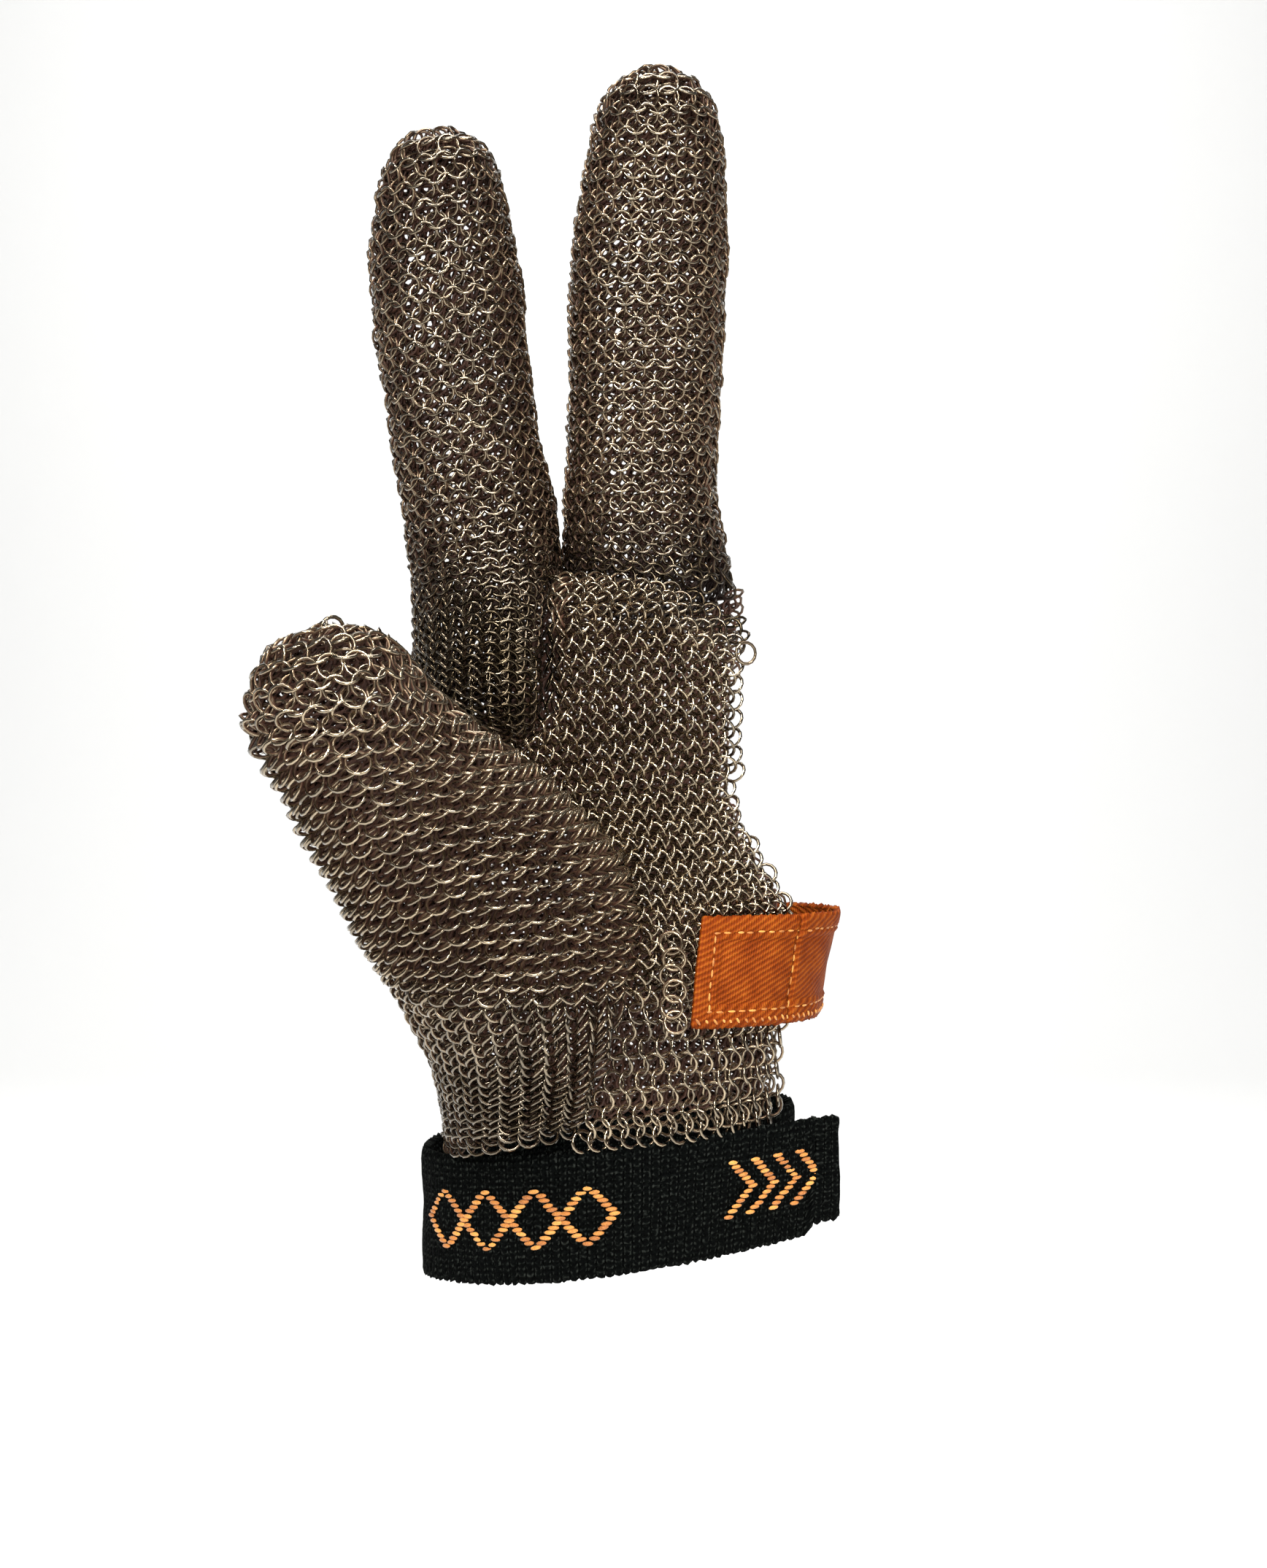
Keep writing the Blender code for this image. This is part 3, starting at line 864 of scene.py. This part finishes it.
def weaveStrap(material):
    s = wristStrap
    ribs = round(strapLength / s["ribPitch"])
    obj, share, v = flatGrid("wristStrap", ribs * 4, 24)
    u = share * strapLength
    wave = np.cos(2 * pi * u / s["ribPitch"])
    rest = strapLength - s["cutLength"]
    cut = np.clip((u - rest) / 0.9, 0, 1)
    low = -s["width"] / 2 + s["cutBack"] * cut
    high = s["width"] / 2 + np.zeros_like(u)
    endSag = 0.5 * np.clip((u - strapLength + 1.2) / 1.2, 0, 1) ** 2
    high = high - endSag
    low = low + endSag
    rim = s["scallop"] * (0.5 + 0.5 * wave)
    low = low - rim
    high = high + rim * 0.7
    height = low + (high - low) * (v + 0.5)
    u = u - s["endSlant"] * (v + 0.5) * np.clip((u - strapLength + s["slantReach"]) / s["slantReach"], 0, 1)
    nearEdge = np.minimum(height - low, high - height)
    relief = 0.5 * s["ribDepth"] * wave * np.clip(nearEdge / 0.8, 0.35, 1)
    fold = 0.42 * np.clip((u - rest) / 0.5, 0, 1)
    roll = -0.3 * np.clip(1 - nearEdge / 1.2, 0, 1) ** 2
    slow = 0.18 * np.sin(0.21 * u + 0.35 * height) + 0.1 * np.sin(0.53 * u - 0.2 * height)
    frayed = np.clip(1 - nearEdge / 0.5, 0, 1)
    height = height + frayed * chance.normal(0, 0.12, len(u))
    rough = chance.normal(0, 0.025, len(u)) + frayed * chance.normal(0, 0.06, len(u))
    layGrid(obj, onStrap(u, height, relief + fold + roll + slow + rough))
    thicken(obj, s["thick"])
    obj.data.materials.append(material)
    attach(obj, "root")
    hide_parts("wrist_strap")
    return obj


# raised orange thread: one stitch, and the runs that make a plain diamond braid and stepped chevrons
stitch = {
    "length": 1.85,
    "height": 0.76,
    "relief": 0.6,
    "rowPitch": 0.76,
    "braidFrom": -28.6,    # x of the braid's left end on the outer layer
    "braidWidth": 8.6,
    "braids": 4,
    "chevronFrom": 19.4,
    "chevrons": 4,
    "chevronGap": 3.9,
}


def modelStitch():
    clearSelection()
    bpy.ops.mesh.primitive_uv_sphere_add(segments=8, ring_count=6, radius=0.5)
    obj = bpy.context.object
    bpy.ops.object.mode_set(mode="EDIT")
    bpy.ops.transform.rotate(value=pi / 2, orient_axis="Y", center_override=(0, 0, 0))
    bpy.ops.mesh.quads_convert_to_tris()
    bpy.ops.object.mode_set(mode="OBJECT")
    points = np.array([v.co[:] for v in obj.data.vertices])
    faces = [list(p.vertices) for p in obj.data.polygons]
    bpy.data.objects.remove(obj)
    return points, np.array(faces)


stitchPoints, stitchFaces = modelStitch()


def joinCopies(name, points, faces, places, sizes, material, node):
    # copies of one shape as one mesh; a place is a centre, an along and an across direction
    centres = np.array([p[0] for p in places]) * mm
    a = unit(np.array([p[1] for p in places]))
    b = np.array([p[2] for p in places])
    b = unit(b - a * (a * b).sum(1, keepdims=True))
    c = np.cross(a, b)
    size = np.array(sizes) * mm
    verts = centres[:, None, :]
    for k, axis in enumerate((a, b, c)):
        verts = verts + points[None, :, k:k + 1] * size[:, None, k:k + 1] * axis[:, None, :]
    starts = np.arange(len(places)) * len(points)
    allFaces = (faces[None] + starts[:, None, None]).reshape(-1, faces.shape[1])
    mesh = bpy.data.meshes.new(name)
    mesh.from_pydata(verts.reshape(-1, 3).tolist(), [], allFaces.tolist())
    tone = mesh.attributes.new("tone", "FLOAT", "POINT")
    tone.data.foreach_set("value", np.repeat(chance.random(len(places)), len(points)))
    mesh.shade_smooth()
    mesh.materials.append(material)
    obj = bpy.data.objects.new(name, mesh)
    bpy.context.scene.collection.objects.link(obj)
    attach(obj, "root")
    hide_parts(node)
    return obj


def strapStitches(material):
    centres = strapLine[0]
    lengths = strapLine[3]
    outer = lengths > strapLength * 0.55         # the layer that shows over the palm

    def atX(x):
        return np.interp(x, centres[outer, 0], lengths[outer])

    lift = np.array([wristStrap["thick"] / 2 + 0.14])
    marks = []                                   # u, v, width share
    start = atX(stitch["braidFrom"])
    for k in range(stitch["braids"]):
        middle = start + stitch["braidWidth"] * (k + 0.5)
        for row in range(-6, 7):
            off = stitch["braidWidth"] * 0.5 * (1 - abs(row) / 6.6)
            for side in (-1, 1):
                if abs(row) < 6 or side > 0:
                    marks.append((middle + side * off * (abs(row) < 6), stitch["rowPitch"] * row, 1))
    start = atX(stitch["chevronFrom"])
    for k in range(stitch["chevrons"]):
        for row in range(-6, 7):
            u = start + k * stitch["chevronGap"] + 4.0 - abs(row) * 0.64
            marks.append((u, 0.8 + stitch["rowPitch"] * row, 0.92))
    places, sizes = [], []
    for u, v, share in marks:
        u += chance.normal(0, 0.07)
        v += chance.normal(0, 0.05)
        here = onStrap(np.array([u]), np.array([v]), lift)[0]
        ahead = onStrap(np.array([u + 0.3]), np.array([v + chance.normal(0, 0.02)]), lift)[0]
        above = onStrap(np.array([u]), np.array([v + 0.3]), lift)[0]
        places.append((here, ahead - here, above - here))
        length = stitch["length"] * share * chance.uniform(0.93, 1.05)
        sizes.append((length, stitch["height"], stitch["relief"]))
    return joinCopies("strapStitches", stitchPoints, stitchFaces, places, sizes, material,
                      "wrist_strap")


# little-finger side tab: a folded and sewn strip of orange webbing, in mm
sideTab = {
    "bottom": 33.7,
    "top": 50.7,
    "from": -74.6,        # degrees round the hand
    "to": 73.0,
    "stand": 1.35,        # how far its middle lies off the mail's outer face
    "thick": 1.1,
    "hem": 3.1,
    "hemRise": 0.42,
    "slant": 0.1,         # the palm end leans by this much from bottom to top
    "seam": 17.4,         # second line of sewing, from the palm end
}


def handPoint(row, angle, grow):
    power = 2 / handShape["squareness"]
    depth = row[5] if sin(angle) > 0 else row[4]
    c = np.sign(cos(angle)) * abs(cos(angle)) ** power
    s = np.sign(sin(angle)) * abs(sin(angle)) ** power
    return np.array((row[0] + (row[3] + grow) * c, row[1] + (depth + grow) * s, 0.0))


def tabSurface():
    # points of the tab's middle face at three levels, evenly spaced along it
    t = sideTab
    rows = smoothRun(handShape["sections"], 8)
    levels = []
    for z in (t["bottom"], (t["bottom"] + t["top"]) / 2, t["top"]):
        row = min(rows, key=lambda r: abs(r[2] - z))
        line = np.array([handPoint(row, radians(a), t["stand"]) + (0, 0, z)
                         for a in np.linspace(t["from"], t["to"], 400)])
        levels.append((line, runOf(line)))
    return levels


tabLevels = tabSurface()
tabLength = tabLevels[1][1][-1]
tabHeight = sideTab["top"] - sideTab["bottom"]


def onTab(u, v, out):
    # u along the tab in mm, v from 0 at its lower edge to its height, out from its middle face
    s = (v / tabHeight)[..., None]

    def placeAt(off):
        levels = []
        for line, run in tabLevels:
            at = (u + off) / tabLength * run[-1]
            levels.append(np.stack([np.interp(at, run, line[:, k]) for k in range(3)], -1))
        a, b, c = levels
        return a * (1 - s) * (1 - 2 * s) + b * 4 * s * (1 - s) + c * s * (2 * s - 1)

    here = placeAt(0.0)
    ahead = unit(placeAt(0.1) - placeAt(-0.1))
    outward = unit(np.cross(ahead, (0, 0, 1)))
    return here + outward * np.asarray(out)[..., None]


def tabRelief(u, v):
    t = sideTab
    toEdge = np.minimum(np.minimum(v, tabHeight - v), np.minimum(u, tabLength - u))
    hem = t["hemRise"] * np.clip((t["hem"] - toEdge) / 0.5 + 0.5, 0, 1) * np.clip(toEdge / 0.6 + 0.35, 0, 1)
    sewn = -0.28 * np.exp(-((toEdge - t["hem"] + 0.75) / 0.3) ** 2)
    seam = -0.4 * np.exp(-((u - t["seam"]) / 0.45) ** 2) + 0.25 * np.clip((u - t["seam"]) / 0.5, 0, 1)
    puff = 0.16 * np.sin(0.55 * u + 0.3 * v) * np.sin(0.42 * v + 0.5)
    return hem + sewn + seam + puff


def sewTab(material):
    t = sideTab
    obj, share, v = flatGrid("sideTab", 168, 48)
    v = (v + 0.5) * tabHeight
    u = share * tabLength
    inset = t["slant"] * (v / tabHeight) * np.clip(1 - u / 20, 0, 1)
    edge = (v < 0.01) | (v > tabHeight - 0.01)
    fray = np.where(edge, chance.normal(0, 0.11, len(v)), 0)
    bulge = 0.11 * np.sin(pi * u * 0.9) * np.where(edge, 1, 0)
    places = onTab(u + inset, v, tabRelief(u, v))
    places[:, 2] += fray + bulge
    layGrid(obj, places)
    thicken(obj, t["thick"])
    obj.data.materials.append(material)
    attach(obj, "root")
    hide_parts("ulnar_tab")
    return obj


def tabStitches(material):
    # running stitches inside the hem and down the second seam
    t = sideTab
    inside = t["hem"] - 0.75
    marks = []
    for u in np.arange(inside, tabLength - inside, 1.9):
        marks += [(u, inside, 1.25, 0), (u, tabHeight - inside, 1.25, 0)]
    for v in np.arange(inside + 0.6, tabHeight - inside, 1.8):
        marks += [(inside, v, 1.25, 1), (t["seam"], v, 1.25, 1), (tabLength - inside, v, 1.25, 1)]
    for u in np.arange(0.8, tabLength, 1.35):     # thread ends showing on the lower fold
        marks.append((u, 0.8, 0.95, 2))
    places, sizes = [], []
    for u, v, long, way in marks:
        u += chance.normal(0, 0.1)
        v += chance.normal(0, 0.07)
        inset = t["slant"] * (v / tabHeight) * max(0, 1 - u / 20)
        lift = tabRelief(np.array([u]), np.array([v])) + t["thick"] / 2 + 0.05
        here, right, above = [onTab(np.array([u + inset + du]), np.array([v + dv]), lift)[0]
                              for du, dv in ((0, 0), (0.3, 0), (0, 0.3))]
        ahead = right - here
        aside = above - here
        if way == 1:
            ahead, aside = aside, -ahead
        if way == 2:
            ahead, aside = ahead * 0.6 - aside * 0.8, ahead * 0.8 + aside * 0.6
        places.append((here, ahead, aside))
        ragged = 0.4 if way == 2 else 0.15
        sizes.append((long * chance.uniform(1 - ragged, 1 + ragged), 0.42, 0.36))
    return joinCopies("tabStitches", stitchPoints, stitchFaces, places, sizes, material,
                      "ulnar_tab")


def blackWebbing():
    made, tree, shader = newMaterial("blackWebbing", (0.012, 0.013, 0.013), 0.62, 0.0)
    flat = uvIn(tree, strapLength, wristStrap["width"])
    loops = waveOn(tree, flat, 0.95, "Y", 1.2)
    ribs = waveOn(tree, flat, 0.725, "X", 0.6)
    cell = scaled(tree, loops, ribs)
    fuzz = noiseOn(tree, flat, 1.7, 4)
    specks = sumOf(tree, scaled(tree, cell, 0.2), scaled(tree, fuzz, 0.9))
    colour = rampOn(tree, specks, [(0.34, (0.0006, 0.0007, 0.0007)), (0.54, (0.002, 0.0025, 0.0022)),
                                   (0.72, (0.026, 0.029, 0.025))])
    tree.links.new(colour, shader.inputs["Base Color"])
    rough = rampOn(tree, fuzz, [(0.3, grey(0.62)), (0.7, grey(0.88))])
    tree.links.new(rough, shader.inputs["Roughness"])
    shader.inputs["Specular IOR Level"].default_value = 0.02
    bumpOn(tree, shader, sumOf(tree, cell, fuzz), 0.5)
    return made


def orangeThread():
    made, tree, shader = newMaterial("orangeThread", (0.72, 0.27, 0.03), 0.45, 0.0)
    place = tree.nodes.new("ShaderNodeTexCoord").outputs["Object"]
    fibre = noiseOn(tree, place, 5200, 3)
    mixed = sumOf(tree, scaled(tree, attributeOn(tree, "tone"), 0.35), scaled(tree, fibre, 0.65))
    colour = rampOn(tree, mixed, [(0.25, (0.30, 0.085, 0.008)), (0.5, (0.56, 0.2, 0.022)),
                                  (0.8, (0.8, 0.4, 0.08))])
    tree.links.new(colour, shader.inputs["Base Color"])
    shader.inputs["Sheen Weight"].default_value = 0.2
    bumpOn(tree, shader, fibre, 0.12)
    return made


def orangeWebbing():
    made, tree, shader = newMaterial("orangeWebbing", (0.55, 0.14, 0.012), 0.55, 0.0)
    flat = uvIn(tree, tabLength, tabHeight)
    slanted = uvIn(tree, tabLength, tabHeight, 62)
    twill = waveOn(tree, slanted, 0.85, "X", 1.0)
    yarn = waveOn(tree, flat, 0.42, "X", 0.8)
    wear = noiseOn(tree, flat, 0.28, 4)
    fuzz = noiseOn(tree, flat, 3.4, 4)
    cloth = sumOf(tree, scaled(tree, twill, 0.55), scaled(tree, yarn, scaled(tree, fuzz, 0.6)))
    shade = sumOf(tree, scaled(tree, cloth, 0.5), scaled(tree, wear, 0.6))
    colour = rampOn(tree, shade, [(0.2, (0.10, 0.015, 0.001)), (0.5, (0.21, 0.033, 0.002)),
                                  (0.8, (0.38, 0.095, 0.009))])
    tree.links.new(colour, shader.inputs["Base Color"])
    rough = rampOn(tree, fuzz, [(0.3, grey(0.45)), (0.75, grey(0.7))])
    tree.links.new(rough, shader.inputs["Roughness"])
    shader.inputs["Specular IOR Level"].default_value = 0.06
    bumpOn(tree, shader, sumOf(tree, cloth, scaled(tree, fuzz, 0.35)), 0.3)
    return made


thread = orangeThread()
strap = weaveStrap(blackWebbing())
strapMarks = strapStitches(thread)
tab = sewTab(orangeWebbing())
tabMarks = tabStitches(thread)
print("strap", round(strapLength, 1), "mm and tab", round(tabLength, 1), "mm sewn")


# floor, light and camera, in metres
setting = {
    "width": 5.0,
    "depth": 2.6,
    "height": 2.2,
    "curve": 0.5,
    "worldLight": 0.16,
    "floorDrop": 0.09,    # the floor lies this far under the glove
    "aim": (0, 0, 0.08),
}


def paleSweep():
    # floor that curves up into a wall behind
    clearSelection()
    floorTop = cadBox[0][2] - setting["floorDrop"]
    bpy.ops.mesh.primitive_plane_add(size=1.0, location=(0, 0, floorTop))
    sweep = bpy.context.object
    sweep.name = "paleSweep"
    bpy.ops.object.mode_set(mode="EDIT")
    bpy.ops.transform.resize(value=(setting["width"], setting["depth"], 1))
    bpy.ops.mesh.select_all(action="DESELECT")
    bpy.ops.object.mode_set(mode="OBJECT")
    for edge in sweep.data.edges:
        edge.select = all(sweep.data.vertices[i].co.y > 0 for i in edge.vertices)
    bpy.ops.object.mode_set(mode="EDIT")
    bpy.ops.mesh.select_mode(type="EDGE")
    bpy.ops.mesh.extrude_region_move(TRANSFORM_OT_translate={"value": (0, 0, setting["height"])})
    bpy.ops.mesh.select_all(action="DESELECT")
    bpy.ops.object.mode_set(mode="OBJECT")
    for edge in sweep.data.edges:
        ends = [sweep.data.vertices[i].co for i in edge.vertices]
        edge.select = all(e.y > 0 and e.z < 0.01 for e in ends)
    bpy.ops.object.mode_set(mode="EDIT")
    bpy.ops.mesh.bevel(offset=setting["curve"], segments=24)
    bpy.ops.object.mode_set(mode="OBJECT")
    sweep.data.shade_smooth()
    sweep.data.materials.append(newMaterial("palePaper", (0.9, 0.9, 0.89), 0.85, 0.0)[0])
    world = bpy.data.worlds.new("softWorld")
    world.use_nodes = True
    world.node_tree.nodes["Background"].inputs["Color"].default_value = (1, 1, 1, 1)
    world.node_tree.nodes["Background"].inputs["Strength"].default_value = setting["worldLight"]
    bpy.context.scene.world = world


def areaLight(name, place, aim, size, power):
    clearSelection()
    bpy.ops.object.light_add(type="AREA", location=place)
    lamp = bpy.context.object
    lamp.name = name
    lamp.data.size = size
    lamp.data.energy = power
    direction = Vector(aim) - Vector(place)
    lamp.rotation_euler = direction.to_track_quat("-Z", "Y").to_euler()


def studioCamera():
    clearSelection()
    bpy.ops.object.camera_add(location=(4.25 * mm, -330 * mm, 72 * mm), rotation=(pi / 2, 0, 0))
    view = bpy.context.object
    view.data.lens = 44.2
    view.data.clip_start = 0.01
    bpy.context.scene.camera = view


paleSweep()
areaLight("overheadLight", (-0.08, -0.42, 0.8), setting["aim"], 0.5, 5.0)
areaLight("sparkLeft", (-0.35, -0.45, 0.75), setting["aim"], 0.12, 5.0)
areaLight("sparkRight", (0.3, -0.55, 0.5), setting["aim"], 0.12, 3.0)
areaLight("sparkFront", (0.05, -0.6, 0.25), setting["aim"], 0.14, 2.5)
areaLight("sweepLight", (0, 0.35, 1.1), (0, 1.3, 0.1), 0.6, 9)
studioCamera()
bpy.context.scene.view_settings.view_transform = "Standard"
print("floor, lights and camera placed")
